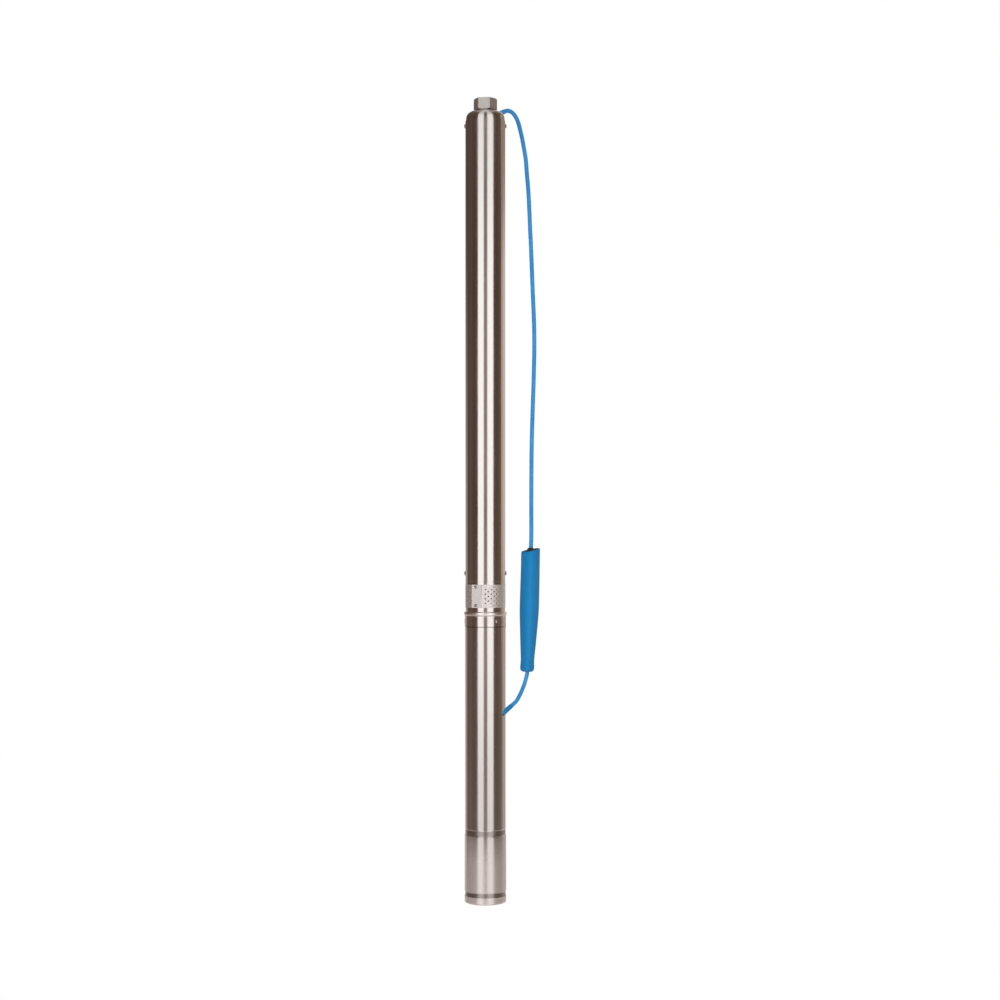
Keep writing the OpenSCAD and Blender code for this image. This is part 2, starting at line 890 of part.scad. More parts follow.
// One row of strainer holes, leaving out the blank strip under the two screws
module strainer_row(row) {
    step = 360 / strainer_holes;
    level = z_strainer + strainer_h / 2 + (row - (strainer_rows - 1) / 2) * strainer_row_pitch;
    for (i = [0 : strainer_holes - 1]) {
        azimuth = -180 + (i + (row % 2) / 2) * step;
        if (azimuth < blank_from || azimuth > blank_to)
            outward(azimuth, level, rim_r - 1)
                cylinder(d = strainer_hole_d, h = strainer_wall + 3);
    }
}

// The flat seam of the strainer sheet, which takes the two screws
module strainer_seam() {
    rotate([0, 0, seam_azimuth - 90])
        translate([0, 0, z_strainer + 0.1])
            linear_extrude(strainer_h - 0.2)
                difference() {
                    translate([0, -seam_left])
                        square([seam_r, seam_left + seam_right]);
                    circle(r = tube_r - strainer_wall / 2);
                }
}

module strainer() {
    color([0.78, 0.77, 0.76])
        difference() {
            union() {
                ring(tube_r, tube_r - strainer_wall, z_strainer + 0.1, z_strainer_top - 0.1);
                strainer_seam();
            }
            for (row = [0 : strainer_rows - 1])
                strainer_row(row);
            for (level = [z_strainer + rim_h / 2, z_strainer_top - rim_h / 2])
                on_seam(level, rim_r - 1)
                    cylinder(r = strainer_screw_r + screw_clear, h = strainer_wall + 4);
        }
}

module strainer_screws() {
    color([0.3, 0.28, 0.27])
        for (level = [z_strainer + rim_h / 2, z_strainer_top - rim_h / 2])
            on_seam(level, seam_r)
                pan_screw(strainer_screw_r * 2, 1.4, strainer_screw_r, strainer_wall + 4);
}

module shaft_coupling() {
    color([0.6, 0.6, 0.6])
        translate([0, 0, coupling_low])
            linear_extrude(coupling_high - coupling_low)
                difference() {
                    circle(r = coupling_r);
                    spline_2d(0.1);
                }
}

// Motor

module motor_top_bracket() {
    web_low = z_upper_bearing + bearing_w;
    color([0.62, 0.59, 0.57])
        difference() {
            rotate_extrude()
                difference() {
                    union() {
                        section(0, z_motor_top - bell_plug_h, motor_plug_r, z_motor_top);
                        section(0, z_motor_top, bell_r - relief_depth, z_motor_top + relief_h);
                        section(0, z_motor_top + relief_h, bell_r, z_bell_top);
                    }
                    section(0, z_motor_top - bell_plug_h - 1, bearing_r + pocket_clear, web_low);
                    section(0, web_low - 1, rotor_shaft_r + 2, seal_floor + 1);
                    section(0, seal_floor, seal_pocket_r, seal_pocket_top + 1);
                    section(0, seal_pocket_top, register_r + slip, z_bell_top + 1);
                    o_groove(motor_plug_r, z_motor_top - 11);
                }
            for (azimuth = bell_screw_azimuths)
                outward(azimuth, bell_screw_z, register_r - 2) {
                    cylinder(r = screw_hole_r, h = 10);
                    translate([0, 0, bell_r - register_r + 2 - screw_head_h])
                        cylinder(r = screw_head_r + 0.4, h = 10);
                }
        }
}

module bracket_screws() {
    color([0.55, 0.53, 0.52])
        for (azimuth = bell_screw_azimuths)
            outward(azimuth, bell_screw_z, bell_r - screw_head_h)
                pan_screw(screw_head_r, screw_head_h, screw_r, bell_r - screw_head_h - register_r + 5);
}

module bracket_o_ring() {
    color([0.06, 0.06, 0.06])
        o_ring(motor_plug_r - o_ring_d / 2 + 0.02, z_motor_top - 11);
}

module seal_seat() {
    color([0.88, 0.86, 0.8])
        ring(seal_pocket_r - 0.1, rotor_shaft_r, seal_floor, seal_floor + seal_seat_h);
}

module seal_ring() {
    color([0.12, 0.12, 0.13])
        rotate_extrude() {
            section(bearing_ri + 0.02, z_seal_ring, seal_pocket_r - 2, z_seal_ring + 3);
            section(bearing_ri + 0.02, z_seal_ring + 2, seal_pocket_r - 3.5, z_seal_ring + seal_ring_h);
        }
}

module sand_guard() {
    color([0.08, 0.08, 0.09])
        rotate_extrude()
            polygon([
                [bearing_ri + 0.02, z_guard], [guard_r - 4, z_guard + 1], [guard_r, z_guard - 1],
                [guard_r, z_guard + 1], [guard_r - 6, z_guard + 3], [bearing_ri + 4, z_guard + guard_h],
                [bearing_ri + 0.02, z_guard + guard_h]
            ]);
}

// Bearing pieces, with the bearing's lower face at a given level
module bearing_outer(low) {
    color([0.8, 0.8, 0.81])
        rotate_extrude()
            difference() {
                section(pitch_r + ring_step, low, bearing_r, low + bearing_w);
                translate([pitch_r - race_r + ball_r + ball_play, low + bearing_w / 2])
                    circle(r = race_r);
            }
}

module bearing_inner(low) {
    color([0.8, 0.8, 0.81])
        rotate_extrude()
            difference() {
                section(bearing_ri + 0.01, low, pitch_r - ring_step, low + bearing_w);
                translate([pitch_r + race_r - ball_r - ball_play, low + bearing_w / 2])
                    circle(r = race_r);
            }
}

module bearing_balls(low) {
    color([0.85, 0.85, 0.86])
        around(ball_count)
            translate([pitch_r, 0, low + bearing_w / 2])
                sphere(r = ball_r);
}

module bearing_cage(low) {
    color([0.75, 0.6, 0.3])
        difference() {
            ring(pitch_r + ring_step - 0.7, pitch_r - ring_step + 0.7, low + 1.5, low + bearing_w - 1.5);
            around(ball_count)
                translate([pitch_r, 0, low + bearing_w / 2])
                    rotate([0, 90, 0])
                        cylinder(r = ball_r + 0.1, h = 4 * ring_step, center = true);
        }
}

module upper_bearing_outer_ring() {
    bearing_outer(z_upper_bearing);
}

module upper_bearing_inner_ring() {
    bearing_inner(z_upper_bearing);
}

module upper_bearing_balls() {
    bearing_balls(z_upper_bearing);
}

module upper_bearing_cage() {
    bearing_cage(z_upper_bearing);
}

module lower_bearing_outer_ring() {
    bearing_outer(z_lower_bearing);
}

module lower_bearing_inner_ring() {
    bearing_inner(z_lower_bearing);
}

module lower_bearing_balls() {
    bearing_balls(z_lower_bearing);
}

module lower_bearing_cage() {
    bearing_cage(z_lower_bearing);
}

module motor_tube() {
    color([0.7, 0.68, 0.66])
        difference() {
            edged_tube(motor_r, motor_ri, z_motor, z_motor_top, motor_tube_edge);
            along(motor_gland_foot, motor_gland_axis)
                translate([0, 0, -motor_gland_root - 4])
                    cylinder(r = gland_stem_r + screw_clear, h = motor_gland_root + 14);
        }
}

// Lamination of the stator, with its slots open towards the bore
module stator_2d() {
    difference() {
        circle(r = core_r);
        circle(r = core_bore_r);
        around(slots) {
            translate([slot_in, -slot_w / 2])
                square([slot_out - slot_in, slot_w]);
            translate([core_bore_r - 2, -slot_mouth_w / 2])
                square([slot_in - core_bore_r + 3, slot_mouth_w]);
        }
    }
}

module stator_core() {
    color([0.45, 0.46, 0.48])
        translate([0, 0, z_core])
            linear_extrude(core_h)
                stator_2d();
}

module stator_winding() {
    bar_low = z_core - 2;
    bar_high = z_core_top + 2;
    color([0.72, 0.4, 0.2])
        union() {
            translate([0, 0, bar_low])
                linear_extrude(bar_high - bar_low)
                    around(slots)
                        translate([slot_in + wire_clear, -slot_w / 2 + wire_clear])
                            square([slot_out - slot_in - 2 * wire_clear, slot_w - 2 * wire_clear]);
            ring(slot_out + 1, slot_in + wire_clear, z_core - end_turn_h, bar_low);
            ring(slot_out + 1, slot_in + wire_clear, bar_high, z_core_top + end_turn_h);
        }
}

module motor_shaft() {
    shoulder_low = z_lower_bearing + bearing_w;
    shoulder_high = z_upper_bearing;
    color([0.68, 0.67, 0.66])
        union() {
            rod(bearing_ri, z_lower_bearing - 4, shoulder_low);
            rod(rotor_shaft_r, shoulder_low, shoulder_high);
            rod(bearing_ri, shoulder_high, z_bell_top + 4);
            rod(journal_r, z_bell_top + 4, coupling_low);
            translate([0, 0, coupling_low])
                linear_extrude(coupling_mid - 1 - coupling_low)
                    spline_2d(0);
        }
}

module rotor_core() {
    color([0.42, 0.43, 0.45])
        translate([0, 0, z_core])
            linear_extrude(core_h)
                difference() {
                    circle(r = rotor_r);
                    circle(r = rotor_shaft_r + 0.02);
                    around(rotor_bars)
                        translate([bar_ring_r, 0])
                            circle(r = bar_r);
                }
}

module rotor_cage() {
    color([0.75, 0.75, 0.77])
        union() {
            translate([0, 0, z_core])
                linear_extrude(core_h)
                    around(rotor_bars)
                        translate([bar_ring_r, 0])
                            circle(r = bar_r - fit);
            ring(rotor_r - 0.5, rotor_shaft_r + 1.5, z_core - end_ring_h, z_core);
            ring(rotor_r - 0.5, rotor_shaft_r + 1.5, z_core_top, z_core_top + end_ring_h);
        }
}

module lower_housing() {
    web_low = z_lower_bearing - bearing_web_h;
    edge = 2;
    color([0.66, 0.62, 0.6])
        difference() {
            rotate_extrude()
                difference() {
                    union() {
                        polygon([
                            [0, z_housing], [housing_r - edge / 2, z_housing],
                            [housing_r, z_housing + edge / 2], [housing_r, z_housing_top - edge],
                            [housing_r - edge / 2, z_housing_top], [0, z_housing_top]
                        ]);
                        section(0, z_housing_top - 1, groove_r, z_motor);
                        section(0, z_motor - 1, motor_plug_r, z_motor + housing_plug_h);
                    }
                    section(0, z_lower_bearing, bearing_r + pocket_clear, z_lower_bearing + bearing_w);
                    section(0, z_lower_bearing + bearing_w - 0.01, bearing_r + 4,
                        z_motor + housing_plug_h + 1);
                    section(0, web_low - 1, rotor_shaft_r, z_lower_bearing + 1);
                    section(0, z_diaphragm, oil_r - 4, web_low);
                    section(0, z_housing - 1, oil_r, z_diaphragm + diaphragm_seat_h);
                    o_groove(motor_plug_r, z_motor + 10);
                }
            around(4, 45)
                translate([cover_screw_ring_r, 0, z_housing - 1])
                    cylinder(r = cover_screw_r + screw_clear, h = cover_screw_top - z_housing + 2);
        }
}

module housing_o_ring() {
    color([0.06, 0.06, 0.06])
        o_ring(motor_plug_r - o_ring_d / 2 + 0.02, z_motor + 10);
}

// A rubber cup whose rim is clamped between the cover and the housing
module diaphragm() {
    cup_r = oil_r - 6;
    cup_top = z_diaphragm + diaphragm_h;
    round_r = 8;
    color([0.08, 0.08, 0.09])
        rotate_extrude() {
            section(cup_r - diaphragm_wall, z_diaphragm + 0.1, oil_r - 0.1, z_diaphragm + diaphragm_seat_h);
            section(cup_r - diaphragm_wall, z_diaphragm + 1, cup_r, cup_top - round_r);
            intersection() {
                difference() {
                    translate([cup_r - round_r, cup_top - round_r])
                        circle(r = round_r);
                    translate([cup_r - round_r, cup_top - round_r])
                        circle(r = round_r - diaphragm_wall);
                }
                section(cup_r - round_r, cup_top - round_r, cup_r, cup_top);
            }
            section(0, cup_top - diaphragm_wall, cup_r - round_r, cup_top);
        }
}

module bottom_cover() {
    floor_h = 8;
    color([0.66, 0.62, 0.6])
        difference() {
            rotate_extrude()
                difference() {
                    union() {
                        section(0, z_base, housing_r - cover_round_r, z_cover);
                        section(0, z_base + cover_round_r, housing_r, z_cover);
                        translate([housing_r - cover_round_r, z_base + cover_round_r])
                            circle(r = cover_round_r);
                        section(0, z_cover - 1, groove_r, z_housing);
                        section(0, z_housing - 1, cover_plug_r, z_diaphragm);
                    }
                    section(0, z_base + floor_h, cover_ri, z_diaphragm + 1);
                    section(0, z_base - 1, vent_r, z_base + floor_h + 1);
                }
            around(4, 45)
                translate([cover_screw_ring_r, 0, z_base - 1]) {
                    cylinder(r = cover_screw_r + screw_clear, h = z_housing - z_base + 2);
                    cylinder(r = cover_head_r + 0.3, h = 1 + cover_sink + cover_head_h);
                }
        }
}

module cover_screws() {
    seat = z_base + cover_sink + cover_head_h;
    color([0.55, 0.55, 0.56])
        around(4, 45)
            translate([cover_screw_ring_r, 0, 0])
                difference() {
                    union() {
                        rod(cover_head_r, seat - cover_head_h, seat);
                        rod(cover_screw_r, seat - 1, cover_screw_top);
                    }
                    translate([0, 0, seat - cover_head_h - 1])
                        cylinder(r = cover_screw_r * 0.85, h = 1 + cover_head_h * 0.6, $fn = 6);
                }
}

// Cable

// A tapered strain relief whose stem goes into a drilled hole
module cable_gland(foot, axis, root, cable_r) {
    along(foot, axis) {
        translate([0, 0, -root])
            cylinder(r1 = gland_foot_r + 0.3, r2 = gland_foot_r, h = root + 3);
        translate([0, 0, 3])
            cylinder(r1 = gland_foot_r, r2 = cable_r + 0.5, h = gland_h - 3);
    }
}

module gland_stem(foot, axis, root) {
    along(foot, axis)
        translate([0, 0, -root])
            cylinder(r = gland_stem_r, h = root + 4);
}

module motor_cable_gland() {
    color([0.1, 0.36, 0.6])
        union() {
            difference() {
                cable_gland(motor_gland_foot, motor_gland_axis, motor_gland_root, lead_d / 2);
                rod(motor_r + 0.05, z_motor, z_motor_top);
            }
            gland_stem(motor_gland_foot, motor_gland_axis, motor_gland_root);
        }
}

module motor_lead() {
    color([0.18, 0.5, 0.78])
        swept_tube(lead_route, lead_d / 2, cable_sides);
}

// A shrink tube over the joint of the two cables, with three ridges along its length
module cable_splice() {
    side = route_side(splice_axis);
    depth = cross(splice_axis, side);
    points = [for (step = splice_profile, k = [0 : splice_sides - 1])
        let (
            angle = k * 360 / splice_sides,
            r = splice_d / 2 * step[1] * (1 - splice_crease * abs(sin(1.5 * (angle - 90)))),
            centre = splice_foot + step[0] * (splice_top - splice_foot))
        centre + r * (cos(angle) * (side - splice_slant * step[2] * splice_axis) + sin(angle) * depth)];
    color([0.11, 0.5, 0.74])
        polyhedron(points = points, faces = tube_faces(len(splice_profile), splice_sides), convexity = 2);
}

module drop_cable() {
    color([0.18, 0.5, 0.78])
        swept_tube(drop_route, drop_cable_d / 2, cable_sides);
}

module head_cable_gland() {
    color([0.1, 0.36, 0.6])
        union() {
            difference() {
                cable_gland(head_gland_foot, head_gland_axis, head_gland_root, drop_cable_d / 2);
                rotate_extrude()
                    head_outline();
            }
            gland_stem(head_gland_foot, head_gland_axis, head_gland_root);
        }
}

discharge_head();
head_o_ring();
valve_seat();
valve_guide();
valve_poppet();
valve_gasket();
valve_spring();
top_bearing_spider();
top_bearing_bush();
pump_tube();
tube_screws();
diffusers();
stage_plates();
impellers();
impeller_nut();
pump_shaft();
suction_bracket();
suction_bush();
strainer();
strainer_screws();
shaft_coupling();
motor_top_bracket();
bracket_screws();
bracket_o_ring();
sand_guard();
seal_seat();
seal_ring();
upper_bearing_outer_ring();
upper_bearing_inner_ring();
upper_bearing_balls();
upper_bearing_cage();
motor_tube();
stator_core();
stator_winding();
motor_shaft();
rotor_core();
rotor_cage();
lower_bearing_outer_ring();
lower_bearing_inner_ring();
lower_bearing_balls();
lower_bearing_cage();
lower_housing();
housing_o_ring();
diaphragm();
bottom_cover();
cover_screws();
motor_cable_gland();
motor_lead();
cable_splice();
drop_cable();
head_cable_gland();
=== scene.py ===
"""Looks of the borehole submersible pump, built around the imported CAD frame."""

import json
import math

import bmesh
import bpy
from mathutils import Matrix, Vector


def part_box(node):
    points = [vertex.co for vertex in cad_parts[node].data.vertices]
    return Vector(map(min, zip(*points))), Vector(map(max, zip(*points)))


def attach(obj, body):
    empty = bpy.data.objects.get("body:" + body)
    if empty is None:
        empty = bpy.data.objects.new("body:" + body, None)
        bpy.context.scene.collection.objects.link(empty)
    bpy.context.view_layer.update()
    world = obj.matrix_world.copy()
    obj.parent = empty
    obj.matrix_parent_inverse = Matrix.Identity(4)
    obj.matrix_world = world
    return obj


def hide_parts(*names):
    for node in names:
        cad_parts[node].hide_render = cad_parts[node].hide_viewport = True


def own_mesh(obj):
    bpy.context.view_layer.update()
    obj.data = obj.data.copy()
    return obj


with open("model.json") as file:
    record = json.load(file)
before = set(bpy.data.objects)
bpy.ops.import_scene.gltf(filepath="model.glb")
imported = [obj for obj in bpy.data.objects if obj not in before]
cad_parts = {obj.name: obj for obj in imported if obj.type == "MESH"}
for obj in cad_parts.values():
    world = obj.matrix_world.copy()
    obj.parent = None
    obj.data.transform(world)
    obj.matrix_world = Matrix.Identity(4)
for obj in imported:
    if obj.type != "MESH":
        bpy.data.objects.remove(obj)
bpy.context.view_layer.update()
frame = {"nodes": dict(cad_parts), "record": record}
nodes = frame["nodes"]

MM = 0.001

# The photograph: its size, the pump's axis, base and eye level in its pixels, and a pixel's real size
PHOTO_PX = 1000
AXIS_PX = 485.4
BASE_PX = 905.8
EYE_PX = 540.0
FRONT_PIXEL = 1.852 * MM
FRONT_R = 37.5 * MM
CAMERA_DISTANCE = 3.7
SENSOR_MM = 36.0

BASE_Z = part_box("bottom_cover")[0].z

# The studio: floor, fill and key light, and the span of the cards that the steel mirrors, in metres
FLOOR_DROP = 1.3
FLOOR_R = 14.0
FLOOR_WHITE_SHARE = 0.9
FLOOR_WHITE = 1.05
FLOOR_MATT = (0.93, 0.93, 0.93)
FILL_COLOR = (1, 0.99, 0.98)
FILL_STRENGTH = 0.6
KEY_WATTS = 54.0
KEY_SIZE = 1.6
KEY_PLACE = Vector((-1.5, -3.5, -0.3))
KEY_AIM = Vector((0, 0, -0.8))
STUDIO_LOW = -3.6
STUDIO_HIGH = 4.2
STUDIO_DROP = 0.085
WHITE = (1, 1, 1)

# Outlet thread: a one-inch pipe thread, in millimetres
OUTLET_BORE_R = 15.145
OUTLET_DEPTH = 20.0
THREAD_PITCH = 2.309
THREAD_H = 0.9
THREAD_LEAST_H = 0.02
THREAD_SINK = 0.1
THREAD_FOOT_SHARE = 0.42
THREAD_CREST_SHARE = 0.12
THREAD_STEPS = 48

# Valve spring: a coil of round wire, in millimetres
SPRING_COIL_R = 9.0
SPRING_WIRE_R = 0.7
SPRING_TURNS = 4
SPRING_STEPS = 24
SPRING_SIDES = 12

# Cables: diameters, real lengths and the routes that the CAD tubes follow, in millimetres
DROP_CABLE_D = 8.0 * MM
LEAD_D = 7.5 * MM
GLAND_H = 20.0
GLAND_LEAD_OUT = 5.0
MOTOR_GLAND_FOOT = Vector((35.5, -14.0, -1145.2))
MOTOR_GLAND_AXIS = Vector((0.66, 0.54, 0.54)).normalized()
HEAD_GLAND_FOOT = Vector((23.5, 19.2, -24.0))
HEAD_GLAND_AXIS = Vector((0.6, 0.69, 0.4)).normalized()
SPLICE_FOOT = Vector((78.8, 36.0, -1073.7))
SPLICE_TOP = Vector((86.0, 47.0, -839.7))
SPLICE_AXIS = (SPLICE_TOP - SPLICE_FOOT).normalized()
SPLICE_R = 19.5
SPLICE_LEAD_OUT = 20
LEAD_STRAIGHT = 3
LEAD_JOINT_STEPS = 8
DROP_ROUTE = [
    HEAD_GLAND_FOOT + GLAND_H * HEAD_GLAND_AXIS,
    HEAD_GLAND_FOOT + (GLAND_H + GLAND_LEAD_OUT) * HEAD_GLAND_AXIS,
    (42.3, 40.7, -12.7), (46.3, 44.7, -12.8), (50.3, 48.3, -14.5), (54, 51.3, -17.5),
    (57.3, 53.7, -21.9), (60.1, 55.3, -27.2), (62.6, 56.4, -33.9), (64.8, 57, -41.9), (66.9, 57.2, -50.5),
    (69.9, 57.2, -64.2), (72.6, 57.1, -79.4), (76, 57, -99.9), (78.3, 56.8, -127.7), (81.1, 56.5, -161.6),
    (83, 56.1, -197.6), (84.5, 55.7, -233.5), (86.2, 55.2, -269.5), (87.7, 54.7, -308.5),
    (89.2, 54.2, -347.5), (90.9, 53.7, -386.7), (92.2, 53.2, -425.7), (92.4, 52.7, -464.6),
    (91.6, 52.2, -503.6), (90.5, 51.7, -542.5), (89.2, 51.3, -581.4), (88, 50.9, -620.4),
    (87.2, 50.6, -659.5), (86.9, 50.4, -698.3), (86.7, 50.3, -737.2), (86.7, 49.8, -776.1),
    SPLICE_TOP + SPLICE_LEAD_OUT * SPLICE_AXIS,
    SPLICE_TOP,
]
LEAD_ROUTE = [
    MOTOR_GLAND_FOOT + GLAND_H * MOTOR_GLAND_AXIS,
    MOTOR_GLAND_FOOT + (GLAND_H + GLAND_LEAD_OUT) * MOTOR_GLAND_AXIS,
    (57.7, 3.9, -1126.4), (62.7, 11, -1118.9), (67.1, 18.3, -1110.7), (71, 25.2, -1102),
    (74.3, 30.7, -1093.1), (76.9, 34.5, -1084.2),
    SPLICE_FOOT - LEAD_STRAIGHT * SPLICE_AXIS,
    SPLICE_FOOT,
]


def metres(points):
    """Points in millimetres as vectors in metres."""
    return [Vector(p) * MM for p in points]


def scaled(color, share):
    """A colour made darker or lighter."""
    return tuple(c * share for c in color)


# Camera

def make_camera():
    """A level camera whose frame is shifted up, so that the pump falls where the photograph has it."""
    axis_pixel = FRONT_PIXEL * CAMERA_DISTANCE / (CAMERA_DISTANCE - FRONT_R)
    eye_x = (PHOTO_PX / 2 - AXIS_PX) * axis_pixel
    eye_z = BASE_Z + (BASE_PX - EYE_PX) * FRONT_PIXEL
    data = bpy.data.cameras.new("camera")
    data.sensor_width = SENSOR_MM
    data.lens = SENSOR_MM * CAMERA_DISTANCE / (PHOTO_PX * axis_pixel)
    data.shift_y = (EYE_PX - PHOTO_PX / 2) / PHOTO_PX
    camera = bpy.data.objects.new("camera", data)
    camera.location = (eye_x, -CAMERA_DISTANCE, eye_z)
    camera.rotation_euler = (math.pi / 2, 0, 0)
    bpy.context.scene.collection.objects.link(camera)
    bpy.context.scene.camera = camera


make_camera()


# Shared mesh helpers

def add_object(name, data):
    """A new object in the scene."""
    obj = bpy.data.objects.new(name, data)
    bpy.context.scene.collection.objects.link(obj)
    return obj


def mesh_object(name, verts, faces, smooth=True):
    """A new mesh object whose faces look outwards."""
    mesh = bpy.data.meshes.new(name)
    mesh.from_pydata([tuple(v) for v in verts], [], faces)
    mesh.validate()
    bm = bmesh.new()
    bm.from_mesh(mesh)
    bmesh.ops.recalc_face_normals(bm, faces=bm.faces)
    bm.to_mesh(mesh)
    bm.free()
    for poly in mesh.polygons:
        poly.use_smooth = smooth
    return add_object(name, mesh)


def loft(name, rings, smooth=True):
    """A closed mesh through rings of equally many points."""
    count = len(rings[0])
    verts = [p for ring in rings for p in ring]
    faces = []
    for i in range(len(rings) - 1):
        for k in range(count):
            after = (k + 1) % count
            faces.append((i * count + k, i * count + after, (i + 1) * count + after, (i + 1) * count + k))
    faces.append(tuple(range(count - 1, -1, -1)))
    faces.append(tuple((len(rings) - 1) * count + k for k in range(count)))
    return mesh_object(name, verts, faces, smooth)


def axis_frame(axis):
    """An axis as a unit vector, and two unit vectors square to it."""
    heading = axis.normalized()
    side = heading.cross(Vector((0, 1, 0.02))).normalized()
    return heading, side, heading.cross(side)


# Materials

class Look:
    """A node material with the few nodes that every finish here shares."""

    def __init__(self, name, color, metallic, roughness):
        self.material = bpy.data.materials.new(name)
        self.material.use_nodes = True
        self.tree = self.material.node_tree
        self.shader = self.tree.nodes["Principled BSDF"]
        self.shader.inputs["Base Color"].default_value = (*color, 1)
        self.shader.inputs["Metallic"].default_value = metallic
        self.shader.inputs["Roughness"].default_value = roughness
        self.coords = self.tree.nodes.new("ShaderNodeTexCoord")

    def link(self, source, target):
        """Joins an output to an input."""
        self.tree.links.new(source, target)

    def noise(self, scale, stretch, detail):
        """Noise in the part's own coordinates, in repeats per metre."""
        mapping = self.tree.nodes.new("ShaderNodeMapping")
        mapping.inputs["Scale"].default_value = stretch
        self.link(self.coords.outputs["Object"], mapping.inputs["Vector"])
        texture = self.tree.nodes.new("ShaderNodeTexNoise")
        texture.inputs["Scale"].default_value = scale
        texture.inputs["Detail"].default_value = detail
        self.link(mapping.outputs["Vector"], texture.inputs["Vector"])
        return texture.outputs["Fac"]

    def spread(self, value, low, high, start=0.3, end=0.7):
        """Maps a noise onto a range of values."""
        ramp = self.tree.nodes.new("ShaderNodeMapRange")
        ramp.inputs["From Min"].default_value = start
        ramp.inputs["From Max"].default_value = end
        ramp.inputs["To Min"].default_value = low
        ramp.inputs["To Max"].default_value = high
        self.link(value, ramp.inputs["Value"])
        return ramp.outputs["Result"]

    def vary_color(self, value, first, second):
        """Blends two colours by a value into the base colour."""
        mix = self.tree.nodes.new("ShaderNodeMix")
        mix.data_type = "RGBA"
        mix.inputs["A"].default_value = (*first, 1)
        mix.inputs["B"].default_value = (*second, 1)
        self.link(value, mix.inputs["Factor"])
        self.link(mix.outputs["Result"], self.shader.inputs["Base Color"])

    def vary_roughness(self, value, low, high):
        """Maps a noise onto the roughness."""
        self.link(self.spread(value, low, high), self.shader.inputs["Roughness"])

    def rings(self, pitch):
        """Turning marks round the axis, a pitch apart in metres."""
        node = self.tree.nodes.new("ShaderNodeTexWave")
        node.bands_direction = "Z"
        node.inputs["Scale"].default_value = math.pi / (10 * pitch)
        self.link(self.coords.outputs["Object"], node.inputs["Vector"])
        return node.outputs["Fac"]

    def bump(self, value, strength, distance):
        """Relief from a noise, in metres."""
        node = self.tree.nodes.new("ShaderNodeBump")
        node.inputs["Strength"].default_value = strength
        node.inputs["Distance"].default_value = distance
        self.link(value, node.inputs["Height"])
        self.link(node.outputs["Normal"], self.shader.inputs["Normal"])


# Heights where a finish changes, in millimetres from the mouth
COVER_TOP = -1488.0
LOWER_GROOVE_TOP = -1480.5
COARSE_TURNING_TOP = -1427.0
FINE_TURNING_LOW = -1390.0
HOUSING_TOP = -1374.0
UPPER_GROOVE_TOP = -1365.0
BELL_LOW = -987.5
JOINT_H = 0.9
FLANGE_LOW = -966.0
FLANGE_TOP = -958.0
SHOULDER_TURN = -33.0
SHOULDER_TOP = -26.0
HEX_FOOT = -24.0
HEX_LOW = -20.6
LEVEL_EDGE = 0.4

# Stretches of a grain, and the noises that finishes share: repeats per metre, stretch and detail
ALONG_AXIS = (1, 1, 0.012)
AROUND_AXIS = (0.02, 0.02, 1)
EVEN = (1, 1, 1)
SMEARS = (9.0, (1, 1, 0.35), 4.0)
MOTTLE = (35.0, EVEN, 4.0)
DRAG_LINES = (900.0, (1, 1, 0.03), 2.0)
HANDLING_MARKS = (60.0, (1, 1, 0.4), 4.0)
FINE_DETAIL = 2.0


def height_ramp(tree, coords, low, high, stops):
    """Colours at heights: a ramp over an object's own height, in metres."""
    split = tree.nodes.new("ShaderNodeSeparateXYZ")
    tree.links.new(coords.outputs["Object"], split.inputs["Vector"])
    height = tree.nodes.new("ShaderNodeMapRange")
    height.inputs["From Min"].default_value = low
    height.inputs["From Max"].default_value = high
    tree.links.new(split.outputs["Z"], height.inputs["Value"])
    ramp = tree.nodes.new("ShaderNodeValToRGB")
    while len(ramp.color_ramp.elements) < len(stops):
        ramp.color_ramp.elements.new(0.5)
    for element, (level, color) in zip(ramp.color_ramp.elements, stops):
        element.position = (level - low) / (high - low)
        element.color = (*color, 1)
    tree.links.new(height.outputs["Result"], ramp.inputs["Fac"])
    return ramp.outputs["Color"]


def steel(name, color, roughness, grain, grain_scale, grain_depth, worn=0.82):
    """Steel with polishing lines that run along or round the axis, and faint smears."""
    look = Look(name, color, 1.0, roughness)
    lines = look.noise(grain_scale, grain, FINE_DETAIL)
    smears = look.noise(*SMEARS)
    look.vary_color(look.spread(smears, 0, 1), scaled(color, worn), color)
    look.vary_roughness(smears, roughness * 0.75, roughness * 1.35)
    look.bump(lines, 0.25, grain_depth)
    return look.material


def moulded(name, color, roughness, texture_scale, depth, spread=0.75):
    """Moulded plastic or rubber with a fine surface texture and slight mottling."""
    look = Look(name, color, 0.0, roughness)
    mottle = look.noise(*MOTTLE)
    fine = look.noise(texture_scale, EVEN, FINE_DETAIL)
    look.vary_color(look.spread(mottle, 0, 1), scaled(color, spread), color)
    look.vary_roughness(mottle, roughness * 0.85, min(1.0, roughness * 1.15))
    look.bump(fine, 0.3, depth)
    return look.material


def levelled_steel(name, color, dim, levels, pitch):
    """Turned steel that changes with the height: level, roughness, share of tone and share of bare metal."""
    look = Look(name, color, 1.0, 0.3)
    stops = [(level * MM, (rough, tone, metal)) for level, rough, tone, metal in levels]
    finish = height_ramp(look.tree, look.coords, stops[0][0], stops[-1][0], stops)
    parts = look.tree.nodes.new("ShaderNodeSeparateColor")
    look.link(finish, parts.inputs["Color"])
    turned = look.tree.nodes.new("ShaderNodeMath")
    turned.operation = "MULTIPLY"
    look.link(parts.outputs["Red"], turned.inputs[0])
    look.link(look.spread(look.rings(pitch), 0.85, 1.15, 0, 1), turned.inputs[1])
    look.link(turned.outputs["Value"], look.shader.inputs["Roughness"])
    look.link(parts.outputs["Blue"], look.shader.inputs["Metallic"])
    look.vary_color(parts.outputs["Green"], scaled(color, dim), color)
    return look.material


